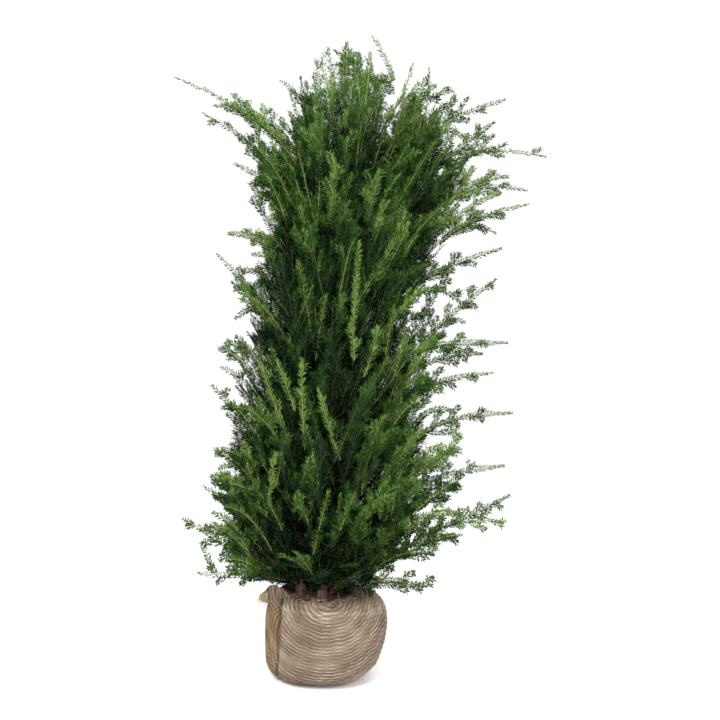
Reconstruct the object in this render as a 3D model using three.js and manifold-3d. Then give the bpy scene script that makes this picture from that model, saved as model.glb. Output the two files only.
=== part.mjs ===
// An upright, many-stemmed yew sapling standing on its burlap-wrapped root ball.
//
// Millimetres, +Z up. +X is the plant's right-hand side, -Y its front. The origin is the middle of the
// flat underside of the root ball.
//
// The plant is made of a trunk and stems that rise from the flat top of the soil, foliage masses that
// stand in tiers round the trunk with a bare hollow inside them, and long shoots that arch out of them.

import * as THREE from 'three';
import { mergeVertices } from 'three/addons/utils/BufferGeometryUtils.js';
import Module from 'manifold-3d';

const wasm = await Module();
wasm.setup();

// ---------------------------------------------------------------- driving dimensions

const GAP = 0.4; // clearance between pieces that touch
const SOIL_TOP = 205; // height of the flat top of the soil, where the trunk is cut

// Root ball: height, then reach to the left, to the right, and to front and back, from the foot up to
// the rim of the opening that the stems come out of.
const BALL_PROFILE = [
  { height: 0, left: 125, right: 118, depth: 116 },
  { height: 14, left: 155, right: 150, depth: 146 },
  { height: 45, left: 168, right: 188, depth: 172 },
  { height: 100, left: 174, right: 210, depth: 184 },
  { height: 160, left: 176, right: 218, depth: 186 },
  { height: 205, left: 172, right: 211, depth: 178 },
  { height: 235, left: 150, right: 186, depth: 154 },
  { height: 246, left: 128, right: 150, depth: 126 },
  { height: 228, left: 112, right: 88, depth: 98 },
];
const BALL_SQUARENESS = 2.3; // 2 is an ellipse in plan, more is squarer
const BALL_SEGMENTS = 20;
const BALL_MIDDLE = new THREE.Vector3(20, 0, 120);
const BALL_HALF_SIZE = new THREE.Vector3(195, 186, 123);
const WRAP_THICKNESS = 4;
const MOUTH_HEIGHT = 270.6; // how high the space inside the wrap is carried, clear of the rim
const SOIL_DISC = { height: SOIL_TOP, left: 100, right: 70, depth: 84 };

// Ear of gathered burlap that stands up from the left shoulder of the ball.
const EAR_OUTLINE = [[-42, -12], [-34, 26], [-14, 47], [6, 50], [22, 30], [46, 6], [46, -12]];
const EAR_THICKNESS = 14;
const EAR_PLACE = new THREE.Vector3(-132, -62, 238);
const EAR_TURN = THREE.MathUtils.degToRad(-28);

// Trunk: middle line from the soil to the tip of the leader.
const TRUNK_LINE = [[-15, 0, SOIL_TOP], [-10, 4, 500], [-18, 8, 900], [-26, 2, 1200],
  [0, 0, 1500], [12, -4, 1750], [34, 0, 1960], [50, 4, 2105]];
const TRUNK_FOOT_RADIUS = 21;
const TRUNK_TIP_RADIUS = 2.5;
const TRUNK_FLARE = 12; // extra radius at the cut
const FLARE_HEIGHT = 45;
const TRUNK_STEPS = 20;
const TRUNK_SIDES = 8;

// Stems: bearing in degrees from +X, height where each enters its mass, and foot radius.
const STEMS = [
  { bearing: 15, top: 760, radius: 11 },
  { bearing: 82, top: 1080, radius: 12 },
  { bearing: 150, top: 620, radius: 10 },
  { bearing: 215, top: 980, radius: 12 },
  { bearing: 288, top: 1240, radius: 13 },
];
const STEM_RING = 60; // how far the stems' feet stand from the trunk's middle line
const STEM_TIP_SHARE = 0.5;
const STEM_FLARE = 4;
const STEM_SPREAD = 1.5; // above 1 a stem climbs first and leans out later
const STEM_BENDS = 6;
const STEM_STEPS = 10;
const STEM_SIDES = 6;
const STEM_ENTRY = 12; // how far past the hollow's wall a stem runs before its mass cuts it off

// Outline of the foliage: height, then reach to the left and to the right of X = 0.
const OUTLINE = [
  { height: 255, left: 190, right: 150 },
  { height: 320, left: 290, right: 225 },
  { height: 450, left: 340, right: 300 },
  { height: 620, left: 295, right: 308 },
  { height: 900, left: 322, right: 308 },
  { height: 1040, left: 288, right: 295 },
  { height: 1140, left: 285, right: 255 },
  { height: 1240, left: 298, right: 288 },
  { height: 1360, left: 245, right: 355 },
  { height: 1500, left: 205, right: 415 },
  { height: 1600, left: 240, right: 450 },
  { height: 1700, left: 312, right: 425 },
  { height: 1800, left: 330, right: 378 },
  { height: 1880, left: 180, right: 345 },
  { height: 1950, left: 75, right: 308 },
  { height: 2030, left: 5, right: 185 },
];
const DEPTH_SHARE = 0.94; // reach to front and back, as a share of the mean reach to the sides

// Edges between the tiers of masses: height at the outline, and how fast the edge rises outwards.
const EDGES = [
  { height: 272, rise: 0 },
  { height: 560, rise: 0.35 },
  { height: 870, rise: 0.55 },
  { height: 1180, rise: 0.6 },
  { height: 1500, rise: 0.6 },
  { height: 1790, rise: 0.4 },
  { height: 2015, rise: -0.25 },
];
const TIERS = [
  { name: 'skirt', masses: 4, turn: 12 },
  { name: 'lower', masses: 4, turn: -18 },
  { name: 'middle', masses: 4, turn: 16 },
  { name: 'upper', masses: 4, turn: -12 },
  { name: 'shoulder', masses: 3, turn: 4 },
  { name: 'top', masses: 2, turn: 10 },
];
const CLEFT = 14; // open width between neighbouring masses
const CLEFT_DEPTH = 0.085; // how far a mass draws in towards its edges, as a share of its reach
const LUMP = 0.06; // unevenness of the outer face, as a share of its reach
const LUMP_WAVES = [
  { turns: 5, climb: 70, size: 1, start: 0 },
  { turns: 3, climb: -110, size: 0.8, start: 1 },
];
const EDGE_WAVE = 66; // how far the edges between tiers wander up and down
const EDGE_WAVES = [{ turns: 2, shift: 1.7, size: 0.6 }, { turns: 3, shift: -2.3, size: 0.4 }];
const SIDE_WAVE = 0.12; // how far the sides between masses wander, in radians
const SIDE_WAVE_CLIMB = 95; // height in which the wandering turns by one radian
const SIDE_WAVE_SHIFT = 2.1; // radians from one side to the next
const HOLLOW_SHARE = 0.46; // radius of the bare hollow, as a share of the reach
const HOLLOW_CLOSES = [1150, 1750]; // heights between which the hollow closes in on the trunk
const TRUNK_CLEARANCE = 18;
const MASS_ROWS = 6;
const MASS_COLUMNS_PER_TURN = 24;
const MASS_COLUMNS_LEAST = 5;

// Shoots that stand out of the masses: root inside the mass, tip, and how far the middle bows up.
const SHOOTS = [
  { name: 'shoot_left_far', root: [-250, -70, 1670], tip: [-575, -105, 1922], bow: 68 },
  { name: 'shoot_left_high', root: [-215, 45, 1770], tip: [-486, 65, 1920], bow: 62 },
  { name: 'shoot_left_wide', root: [-270, -5, 1640], tip: [-503, -25, 1844], bow: 50 },
  { name: 'shoot_left_short', root: [-190, 20, 1560], tip: [-384, 0, 1676], bow: 16 },
  { name: 'shoot_left_hooked', root: [-80, 10, 1810], tip: [-227, -10, 1984], bow: 28 },
  { name: 'shoot_left_middle', root: [-190, -20, 1080], tip: [-400, -50, 1329], bow: 14 },
  { name: 'shoot_left_waist', root: [-230, 30, 870], tip: [-382, 40, 957], bow: 9 },
  { name: 'shoot_left_lower', root: [-260, -25, 730], tip: [-388, -45, 888], bow: 12 },
  { name: 'shoot_left_fork', root: [-250, 45, 430], tip: [-418, 60, 552], bow: 4 },
  { name: 'shoot_left_long', root: [-230, -40, 330], tip: [-444, -70, 463], bow: 6 },
  { name: 'shoot_left_low', root: [-190, 10, 296], tip: [-410, -10, 288], bow: -16 },
  { name: 'leader_left', root: [-4, -22, 1940], tip: [-10, -24, 2078], bow: 4 },
  { name: 'leader_middle', root: [96, 30, 1940], tip: [84, 34, 2122], bow: 18 },
  { name: 'leader_hooked', root: [150, -12, 1930], tip: [94, -20, 2160], bow: 36 },
  { name: 'shoot_right_top', root: [250, 20, 1860], tip: [403, 30, 1908], bow: 22 },
  { name: 'shoot_right_upper', root: [290, -60, 1740], tip: [548, -100, 1888], bow: 28 },
  { name: 'shoot_right_far', root: [350, -20, 1630], tip: [697, -60, 1712], bow: 66 },
  { name: 'shoot_right_arch', root: [370, 60, 1560], tip: [680, 80, 1645], bow: 56 },
  { name: 'shoot_right_wide', root: [300, -35, 1350], tip: [635, -75, 1533], bow: 36 },
  { name: 'shoot_right_straight', root: [245, 30, 1250], tip: [570, 20, 1408], bow: 18 },
  { name: 'shoot_right_tall', root: [250, 25, 930], tip: [560, 50, 1306], bow: 44 },
  { name: 'shoot_right_level', root: [240, -45, 990], tip: [574, -85, 1057], bow: 38 },
  { name: 'shoot_right_waist', root: [240, 5, 865], tip: [535, -10, 967], bow: 27 },
  { name: 'shoot_right_long', root: [240, 35, 670], tip: [622, 60, 840], bow: 60 },
  { name: 'shoot_right_lower', root: [255, -15, 545], tip: [581, -30, 663], bow: 36 },
  { name: 'shoot_right_low', root: [240, 25, 375], tip: [619, 45, 566], bow: 2 },
  { name: 'shoot_front_low', root: [60, -230, 430], tip: [95, -455, 600], bow: 26 },
  { name: 'shoot_front_high', root: [-60, -220, 1290], tip: [-95, -470, 1500], bow: 36 },
  { name: 'shoot_back_low', root: [-50, 230, 700], tip: [-100, 480, 880], bow: 34 },
  { name: 'shoot_back_high', root: [120, 230, 1490], tip: [180, 500, 1680], bow: 44 },
];
const SHOOT_WIDTH = 34; // across the two ranks of needles
const SHOOT_THICKNESS = 15;
const SHOOT_FULLNESS = { least: 0.35, start: 0.3, run: 0.62, end: 0.95, power: 0.8 }; // from root to tip
const SHOOT_STEPS = 7;
const SHOOT_SIDES = 6;

// ---------------------------------------------------------------- materials

const bark = new THREE.MeshStandardMaterial({ color: 0x6b4a34, roughness: 0.9, metalness: 0 });
const soil = new THREE.MeshStandardMaterial({ color: 0x3a2c22, roughness: 1, metalness: 0 });
const burlap = new THREE.MeshStandardMaterial({ color: 0x9c8466, roughness: 0.95, metalness: 0 });
const foliage = new THREE.MeshStandardMaterial({ color: 0x2f4f22, roughness: 0.8, metalness: 0 });
const youngFoliage = new THREE.MeshStandardMaterial({ color: 0x5f8433, roughness: 0.8, metalness: 0 });

// ---------------------------------------------------------------- small helpers

const { clamp, degToRad, lerp, smoothstep } = THREE.MathUtils;
const SIDEWAYS = new THREE.Vector3(1, 0, 0);
const UP = new THREE.Vector3(0, 0, 1);
const WELD = 1e-4; // points nearer than this are one point

function sum(items, value) {
  return items.reduce((total, item) => total + value(item), 0);
}

/** Value of one column of a table at a height, eased smoothly from row to row. */
function along(table, column, height) {
  const last = table.length - 1;
  let row = 0;
  while (row < last - 1 && table[row + 1].height < height) row += 1;
  const share = smoothstep(height, table[row].height, table[row + 1].height);
  return lerp(table[row][column], table[row + 1][column], share);
}

/** Closed body through a stack of rings of equal length, each counter-clockwise from its far side. */
function skin(rings, capRing) {
  const count = rings[0].length;
  const positions = rings.flat().flatMap((point) => [point.x, point.y, point.z]);
  const faces = [];
  for (let row = 0; row + 1 < rings.length; row += 1) {
    for (let k = 0; k < count; k += 1) {
      const here = row * count + k;
      const next = row * count + ((k + 1) % count);
      faces.push(here, next, next + count, here, next + count, here + count);
    }
  }
  const start = (rings.length - 1) * count;
  for (const [a, b, c] of capRing(count)) {
    faces.push(a, c, b, start + a, start + b, start + c);
  }
  const geometry = new THREE.BufferGeometry();
  geometry.setAttribute('position', new THREE.Float32BufferAttribute(positions, 3));
  geometry.setIndex(faces);
  return geometry;
}

/** Triangles that fill a convex ring from its first point. */
function fan(count) {
  return Array.from({ length: count - 2 }, (_, k) => [0, k + 1, k + 2]);
}

/** Triangles that fill a curved band, whose ring runs out along one side and back along the other. */
function band(count) {
  const triangles = [];
  for (let k = 0; k < count / 2 - 1; k += 1) {
    const back = count - 1 - k;
    triangles.push([k, k + 1, back], [k + 1, back - 1, back]);
  }
  return triangles;
}

/** Rings of a limb that follows a curve, with an oval section of the given half width and height. */
function limbRings(curve, steps, sides, section, across) {
  const rings = [];
  for (let step = 0; step <= steps; step += 1) {
    const share = step / steps;
    const middle = curve.getPointAt(share);
    const heading = curve.getTangentAt(share);
    const side = across.clone().addScaledVector(heading, -across.dot(heading)).normalize();
    const lift = new THREE.Vector3().crossVectors(heading, side);
    const { halfWidth, halfHeight } = section(share);
    rings.push(Array.from({ length: sides }, (_, k) => {
      const angle = (k / sides) * 2 * Math.PI;
      return middle.clone()
        .addScaledVector(side, halfWidth * Math.cos(angle))
        .addScaledVector(lift, halfHeight * Math.sin(angle));
    }));
  }
  return rings;
}

function toSolid(geometry) {
  const bare = geometry.clone();
  bare.deleteAttribute('normal');
  bare.deleteAttribute('uv');
  const merged = mergeVertices(bare, WELD);
  return new wasm.Manifold(new wasm.Mesh({
    numProp: 3,
    vertProperties: new Float32Array(merged.attributes.position.array),
    triVerts: new Uint32Array(merged.index.array),
  }));
}

function toGeometry(solid) {
  const mesh = solid.getMesh();
  const geometry = new THREE.BufferGeometry();
  geometry.setAttribute('position', new THREE.BufferAttribute(new Float32Array(mesh.vertProperties), 3));
  geometry.setIndex(new THREE.BufferAttribute(new Uint32Array(mesh.triVerts), 1));
  return geometry;
}

/** What is left of a piece outside its neighbours: the largest part of it. */
function cutAway(geometry, neighbours) {
  const piece = neighbours.reduce((solid, other) => solid.subtract(other), toSolid(geometry));
  const parts = piece.decompose();
  parts.sort((a, b) => b.volume() - a.volume());
  return toGeometry(parts[0]);
}

function named(name, geometry, material) {
  const shaded = geometry.clone();
  shaded.computeVertexNormals();
  const mesh = new THREE.Mesh(shaded, material);
  mesh.name = name;
  return mesh;
}

// ---------------------------------------------------------------- root ball

/** One level ring of the ball, drawn in on every side by an inset. */
function ballRing(row, inset) {
  const shrink = new THREE.Vector3(inset, inset, inset).divide(BALL_HALF_SIZE);
  return Array.from({ length: BALL_SEGMENTS }, (_, k) => {
    const angle = (k / BALL_SEGMENTS) * 2 * Math.PI;
    const [cosine, sine] = [Math.cos(angle), Math.sin(angle)];
    const reach = cosine > 0 ? row.right : row.left;
    const power = 2 / BALL_SQUARENESS;
    const point = new THREE.Vector3(
      reach * Math.sign(cosine) * Math.abs(cosine) ** power,
      row.depth * Math.sign(sine) * Math.abs(sine) ** power,
      row.height,
    );
    return new THREE.Vector3(
      lerp(point.x, BALL_MIDDLE.x, shrink.x),
      lerp(point.y, BALL_MIDDLE.y, shrink.y),
      lerp(point.z, BALL_MIDDLE.z, shrink.z),
    );
  });
}

/** The whole ball, filled, drawn in by an inset and with further rings on top. */
function ballGeometry(inset, topRings = []) {
  return skin([...BALL_PROFILE.map((row) => ballRing(row, inset)), ...topRings], fan);
}

function wrapGeometry() {
  const mouth = { ...BALL_PROFILE.at(-1), height: MOUTH_HEIGHT };
  const cavity = ballGeometry(WRAP_THICKNESS, [ballRing(mouth, WRAP_THICKNESS)]);
  return toGeometry(toSolid(ballGeometry(0)).subtract(toSolid(cavity)));
}

function soilGeometry() {
  return ballGeometry(WRAP_THICKNESS + GAP, [ballRing(SOIL_DISC, 0)]);
}

function earGeometry() {
  const shape = new THREE.Shape(EAR_OUTLINE.map(([x, y]) => new THREE.Vector2(x, y)));
  const slab = new THREE.ExtrudeGeometry(shape, { depth: EAR_THICKNESS, bevelEnabled: false });
  slab.translate(0, 0, -EAR_THICKNESS / 2);
  slab.rotateX(Math.PI / 2);
  slab.rotateZ(EAR_TURN);
  slab.translate(EAR_PLACE.x, EAR_PLACE.y, EAR_PLACE.z);
  return cutAway(slab, [toSolid(ballGeometry(-GAP)), ...swollenMasses]);
}

// ---------------------------------------------------------------- trunk and stems

const trunkCurve = new THREE.CatmullRomCurve3(TRUNK_LINE.map((point) => new THREE.Vector3(...point)));
const trunkTop = TRUNK_LINE.at(-1)[2];
const AXIS_SAMPLES = 64;
const axisPoints = trunkCurve.getPoints(AXIS_SAMPLES);

/** The trunk's middle at a height: the line that the masses stand round. */
function axisAt(height) {
  const z = clamp(height, SOIL_TOP, trunkTop);
  let k = 0;
  while (k < AXIS_SAMPLES - 1 && axisPoints[k + 1].z < z) k += 1;
  const share = (z - axisPoints[k].z) / (axisPoints[k + 1].z - axisPoints[k].z);
  return axisPoints[k].clone().lerp(axisPoints[k + 1], share);
}

function flare(height, extra) {
  return extra * Math.exp(-(height - SOIL_TOP) / FLARE_HEIGHT);
}

function trunkRadius(height) {
  const share = clamp((height - SOIL_TOP) / (trunkTop - SOIL_TOP), 0, 1);
  return lerp(TRUNK_FOOT_RADIUS, TRUNK_TIP_RADIUS, share) + flare(height, TRUNK_FLARE);
}

/** Levels the first ring of a limb, so that it stands on the soil on a flat cut. */
function standOnSoil(rings) {
  for (const point of rings[0]) point.z = SOIL_TOP + GAP;
  return rings;
}

function trunkGeometry() {
  const section = (share) => {
    const radius = trunkRadius(trunkCurve.getPointAt(share).z);
    return { halfWidth: radius, halfHeight: radius };
  };
  const rings = limbRings(trunkCurve, TRUNK_STEPS, TRUNK_SIDES, section, SIDEWAYS);
  return skin(standOnSoil(rings), fan);
}

function stemGeometry({ bearing, top, radius }) {
  const angle = degToRad(bearing);
  const foot = axisAt(SOIL_TOP);
  const tipRadius = radius * STEM_TIP_SHARE;
  const endReach = hollowReach(angle, top) + STEM_ENTRY;
  const points = [];
  for (let k = 0; k <= STEM_BENDS; k += 1) {
    const share = k / STEM_BENDS;
    const height = lerp(SOIL_TOP, top, share);
    const distance = lerp(STEM_RING, endReach, share ** STEM_SPREAD);
    const centre = axisAt(height);
    points.push(new THREE.Vector3(
      lerp(foot.x, centre.x, share) + distance * Math.cos(angle),
      lerp(foot.y, centre.y, share) + distance * Math.sin(angle),
      height,
    ));
  }
  const curve = new THREE.CatmullRomCurve3(points);
  const section = (share) => {
    const here = lerp(radius, tipRadius, share) + flare(curve.getPointAt(share).z, STEM_FLARE);
    return { halfWidth: here, halfHeight: here };
  };
  const rings = limbRings(curve, STEM_STEPS, STEM_SIDES, section, SIDEWAYS);
  return cutAway(skin(standOnSoil(rings), fan), swollenMasses);
}

// ---------------------------------------------------------------- foliage masses

function meanReach(height) {
  return (along(OUTLINE, 'left', height) + along(OUTLINE, 'right', height)) / 2;
}

/** Distance from the trunk's middle to the outline of the foliage, at an angle and a height. */
function outlineReach(angle, height) {
  const left = along(OUTLINE, 'left', height);
  const right = along(OUTLINE, 'right', height);
  const centre = axisAt(height);
  const side = Math.cos(angle) > 0 ? right - centre.x : left + centre.x;
  const depth = DEPTH_SHARE * meanReach(height);
  const reach = side * Math.cos(angle) ** 2 + depth * Math.sin(angle) ** 2;
  const lumps = sum(LUMP_WAVES, ({ turns, climb, size, start }) => (
    size * Math.sin(turns * angle + height / climb + start)
  ));
  return reach * (1 + LUMP * Math.sin(angle) ** 2 * lumps);
}

/** Distance from the trunk's middle to the inner face of the masses. */
function hollowReach(angle, height) {
  const open = 1 - smoothstep(height, HOLLOW_CLOSES[0], HOLLOW_CLOSES[1]);
  const hollow = HOLLOW_SHARE * open * outlineReach(angle, height);
  return Math.max(hollow, trunkRadius(height) + TRUNK_CLEARANCE);
}

/** Height of an edge between tiers at the mean reach. It wanders round the plant, less near the trunk. */
function edgeHeight(index, angle, spread) {
  const inner = index > 0 && index < EDGES.length - 1;
  const wave = sum(EDGE_WAVES, ({ turns, shift, size }) => size * Math.sin(turns * angle + shift * index));
  return EDGES[index].height + (inner ? EDGE_WAVE * spread * wave : 0);
}

/** Angle of the side between two masses of a tier, which wanders as it climbs. */
function sideAngle(tierIndex, k, height) {
  const { masses, turn } = TIERS[tierIndex];
  const place = (k % masses) + 0.5;
  const bend = height / SIDE_WAVE_CLIMB + SIDE_WAVE_SHIFT * (k % masses) + tierIndex;
  const wave = SIDE_WAVE * Math.sin(bend);
  return degToRad(turn) + (place / masses) * 2 * Math.PI + wave + 2 * Math.PI * Math.floor(k / masses);
}

/** How far the outer face of a mass is drawn in, 0 in its middle and 1 at its edges. */
function edgeness(share) {
  return (2 * share - 1) ** 4;
}

/** One closed mass of a tier. A swell moves all its faces outwards. */
function massGeometry(tierIndex, k, swell = 0) {
  const columns = Math.max(MASS_COLUMNS_LEAST, Math.round(MASS_COLUMNS_PER_TURN / TIERS[tierIndex].masses));
  const half = CLEFT / 2 - swell;
  const lowReach = meanReach(EDGES[tierIndex].height);
  const highReach = meanReach(EDGES[tierIndex + 1].height);
  const rings = [];
  for (let row = 0; row <= MASS_ROWS; row += 1) {
    const up = row / MASS_ROWS;
    const rise = lerp(EDGES[tierIndex].rise, EDGES[tierIndex + 1].rise, up);
    const levelAt = (angle, spread) => lerp(
      edgeHeight(tierIndex, angle, spread) + half,
      edgeHeight(tierIndex + 1, angle, spread) - half,
      up,
    );
    const facePoint = (column, outer) => {
      const across = column / columns;
      const level = levelAt(sideAngle(tierIndex, k + across, EDGES[tierIndex].height), 1);
      const from = sideAngle(tierIndex, k, level);
      const to = sideAngle(tierIndex, k + 1, level);
      const nominal = lerp(from, to, across);
      const reach = outer
        ? outlineReach(nominal, level) * (1 - CLEFT_DEPTH * (edgeness(across) + edgeness(up))) + swell
        : hollowReach(nominal, level) - swell;
      const trim = half / reach;
      const angle = lerp(from + trim, to - trim, across);
      const rowReach = lerp(lowReach, highReach, up);
      const height = levelAt(angle, Math.min(1, reach / rowReach)) + rise * (reach - rowReach);
      const centre = axisAt(height);
      return new THREE.Vector3(
        centre.x + reach * Math.cos(angle),
        centre.y + reach * Math.sin(angle),
        height,
      );
    };
    const outerEdge = Array.from({ length: columns + 1 }, (_, column) => facePoint(column, true));
    const innerEdge = Array.from({ length: columns + 1 }, (_, column) => facePoint(columns - column, false));
    rings.push([...outerEdge, ...innerEdge]);
  }
  return skin(rings, band);
}

// ---------------------------------------------------------------- shoots

/** A long shoot: a flat, leafy limb that arches from its root to its tip. */
function shootGeometry({ root, tip, bow }) {
  const from = new THREE.Vector3(...root);
  const to = new THREE.Vector3(...tip);
  const chord = to.clone().sub(from).normalize();
  const across = new THREE.Vector3().crossVectors(chord, UP).normalize();
  const lift = new THREE.Vector3().crossVectors(across, chord);
  const control = from.clone().lerp(to, 0.5).addScaledVector(lift, 2 * bow);
  const curve = new THREE.QuadraticBezierCurve3(from, control, to);
  const section = (share) => {
    const { least, start, run, end, power } = SHOOT_FULLNESS;
    const bulge = Math.sin(Math.PI * clamp(start + run * share, 0, end)) ** power;
    const fullness = lerp(least, 1, bulge);
    return { halfWidth: (SHOOT_WIDTH / 2) * fullness, halfHeight: (SHOOT_THICKNESS / 2) * fullness };
  };
  return skin(limbRings(curve, SHOOT_STEPS, SHOOT_SIDES, section, across), fan);
}

// ---------------------------------------------------------------- the plant

const swollenMasses = TIERS.flatMap(({ masses }, tierIndex) => (
  Array.from({ length: masses }, (_, k) => toSolid(massGeometry(tierIndex, k, GAP)))
));

const plant = new THREE.Group();
plant.add(named('soil_ball', soilGeometry(), soil));
plant.add(named('burlap_wrap', wrapGeometry(), burlap));
plant.add(named('burlap_ear', earGeometry(), burlap));
plant.add(named('trunk', trunkGeometry(), bark));
STEMS.forEach((stem, k) => plant.add(named(`stem_${k + 1}`, stemGeometry(stem), bark)));

TIERS.forEach(({ name, masses }, tierIndex) => {
  for (let k = 0; k < masses; k += 1) {
    plant.add(named(`mass_${name}_${k + 1}`, massGeometry(tierIndex, k), foliage));
  }
});

for (const shoot of SHOOTS) {
  plant.add(named(shoot.name, cutAway(shootGeometry(shoot), swollenMasses), youngFoliage));
}

export default plant;
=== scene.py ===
"""Looks of the yew sapling and its burlap-wrapped root ball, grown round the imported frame.

Metres, +Z up, -Y the front. The limbs, twigs and needles grow from the frame's trunk, stems, masses
and long shoots by one seeded branching rule.
"""
import math

import bpy
import numpy as np
from mathutils import Matrix, Vector
from mathutils.bvhtree import BVHTree


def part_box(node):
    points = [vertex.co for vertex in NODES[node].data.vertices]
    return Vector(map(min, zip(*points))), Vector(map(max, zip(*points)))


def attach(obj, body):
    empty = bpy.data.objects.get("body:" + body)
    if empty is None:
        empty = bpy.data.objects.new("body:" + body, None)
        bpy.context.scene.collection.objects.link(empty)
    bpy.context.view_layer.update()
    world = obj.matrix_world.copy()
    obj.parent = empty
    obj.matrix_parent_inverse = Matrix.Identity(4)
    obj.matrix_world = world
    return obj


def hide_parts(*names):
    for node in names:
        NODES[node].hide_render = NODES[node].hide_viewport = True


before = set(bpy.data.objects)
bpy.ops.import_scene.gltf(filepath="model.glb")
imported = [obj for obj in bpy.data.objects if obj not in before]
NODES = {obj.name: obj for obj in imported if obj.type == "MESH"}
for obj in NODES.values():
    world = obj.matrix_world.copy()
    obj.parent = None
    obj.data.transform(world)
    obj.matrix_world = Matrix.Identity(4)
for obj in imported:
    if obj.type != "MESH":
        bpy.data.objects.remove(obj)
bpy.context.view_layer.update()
rng = np.random.default_rng(1963)
UP = np.array([0, 0, 1.0])

# ---------------------------------------------------------------- sizes

SOIL_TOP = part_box("soil_ball")[1].z
PLANT_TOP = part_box("trunk")[1].z
FOLIAGE_LOW = min(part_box(name)[0].z for name in NODES if name.startswith("mass_"))
FOLIAGE_HIGH = max(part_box(name)[1].z for name in NODES if name.startswith("mass_"))

NEEDLE_LENGTH = 0.0205
NEEDLE_WIDTH = 0.0031
NEEDLE_SPACING = 0.0056   # along one rank of a shoot
NEEDLE_LEAN = 58.0        # degrees between a needle and its shoot
COMB_WIDTH = 1.45         # width of the needles on protruding shoots, times the usual one
TOP_STARTS = 1.8          # above it every shoot is carried from inside the plant
BRANCH_RADIUS = 0.0028    # twigs thicker than this are branches
TWIG_RADIUS = 0.0013      # twigs thinner than this are side twigs
TWIGLET_RADIUS = 0.0008   # twigs thinner still are one straight piece
PIECE_TRIANGLES = 190000  # most triangles in one piece of needles

LIMB_RADII = {"trunk": (0.021, 0.0011), "stem": (0.0115, 0.00575)}  # foot and tip
FLARE_SHARE = 0.55
FLARE_HEIGHT = 0.045
LEADER_COUNT = 30
LEADER_POINTS = 26
GOLDEN_ANGLE = 2.399963   # radians
ROOT_RING = 0.035         # how far from the trunk the hidden leaders start

# ---------------------------------------------------------------- small helpers


def unit(vectors):
    return vectors / np.maximum(np.linalg.norm(vectors, axis=-1, keepdims=True), 1e-9)


def bezier(points, share):
    """Points on quadratic curves: points is (n, 3, 3), share is (n,) or (n, m)."""
    t = share[..., None]
    a, b, c = (points[:, k] for k in range(3))
    if share.ndim == 2:
        a, b, c = a[:, None], b[:, None], c[:, None]
    return (1 - t) ** 2 * a + 2 * (1 - t) * t * b + t ** 2 * c


def bezier_heading(points, share):
    t = share[..., None]
    a, b, c = (points[:, k] for k in range(3))
    if share.ndim == 2:
        a, b, c = a[:, None], b[:, None], c[:, None]
    return unit((1 - t) * (b - a) + t * (c - b))


def curve_length(points):
    steps = bezier(points, np.tile(np.linspace(0, 1, 9), (len(points), 1)))
    return np.linalg.norm(np.diff(steps, axis=1), axis=2).sum(axis=1)


def mesh_piece(name, vertices, faces, material, replaced=(), smooth=True):
    """One joined piece of equal-sided faces, riding on the root."""
    mesh = bpy.data.meshes.new(name)
    vertices = np.ascontiguousarray(vertices, np.float32).reshape(-1, 3)
    faces = np.ascontiguousarray(faces, np.int32)
    sides = faces.shape[1]
    mesh.vertices.add(len(vertices))
    mesh.vertices.foreach_set("co", vertices.ravel())
    mesh.loops.add(faces.size)
    mesh.loops.foreach_set("vertex_index", faces.ravel())
    mesh.polygons.add(len(faces))
    mesh.polygons.foreach_set("loop_start", np.arange(0, faces.size, sides, dtype=np.int32))
    mesh.polygons.foreach_set("use_smooth", np.full(len(faces), smooth))
    mesh.update(calc_edges=True)
    mesh.validate()
    mesh.materials.append(material)
    piece = bpy.data.objects.new(name, mesh)
    bpy.context.scene.collection.objects.link(piece)
    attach(piece, "root")
    if replaced:
        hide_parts(*replaced)
    return piece


def node_vertices(name):
    mesh = NODES[name].data
    points = np.empty(len(mesh.vertices) * 3)
    mesh.vertices.foreach_get("co", points)
    return points.reshape(-1, 3)


def node_tree(names):
    """A ray-casting tree over several CAD nodes."""
    vertices, faces = [], []
    for name in names:
        mesh = NODES[name].data
        start = len(vertices)
        vertices += [vertex.co.copy() for vertex in mesh.vertices]
        faces += [[start + k for k in polygon.vertices] for polygon in mesh.polygons]
    return BVHTree.FromPolygons(vertices, faces)


def centreline(name, count):
    """Middle line of a limb-like node, from the end nearer the soil's middle to the far end."""
    points = np.unique(node_vertices(name).round(6), axis=0)
    spread = points[:, None] - points[None, ::max(1, len(points) // 40)]
    far = np.unravel_index(np.linalg.norm(spread, axis=2).argmax(), spread.shape[:2])
    start = points[far[0]]
    order = np.argsort((points - start) @ unit(points[None, far[1] * max(1, len(points) // 40)] - start)[0])
    line = np.array([chunk.mean(axis=0) for chunk in np.array_split(points[order], count)])
    near = np.hypot(line[:, 0], line[:, 1]) + 0.5 * line[:, 2]
    return line if near[0] < near[-1] else line[::-1]


# ---------------------------------------------------------------- materials


def new_material(name):
    material = bpy.data.materials.new(name)
    material.use_nodes = True
    return material, material.node_tree.nodes, material.node_tree.links


def leaf_material(name, colour):
    """A plain needle colour; only the young needles have a sheen."""
    material, nodes, _ = new_material(f"needle_{name}")
    shader = nodes["Principled BSDF"]
    shader.inputs["Base Color"].default_value = (*colour, 1)
    shader.inputs["Roughness"].default_value = 0.45
    shader.inputs["Specular IOR Level"].default_value = 0.08 if name in ("fresh", "young") else 0.0
    return material


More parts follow.
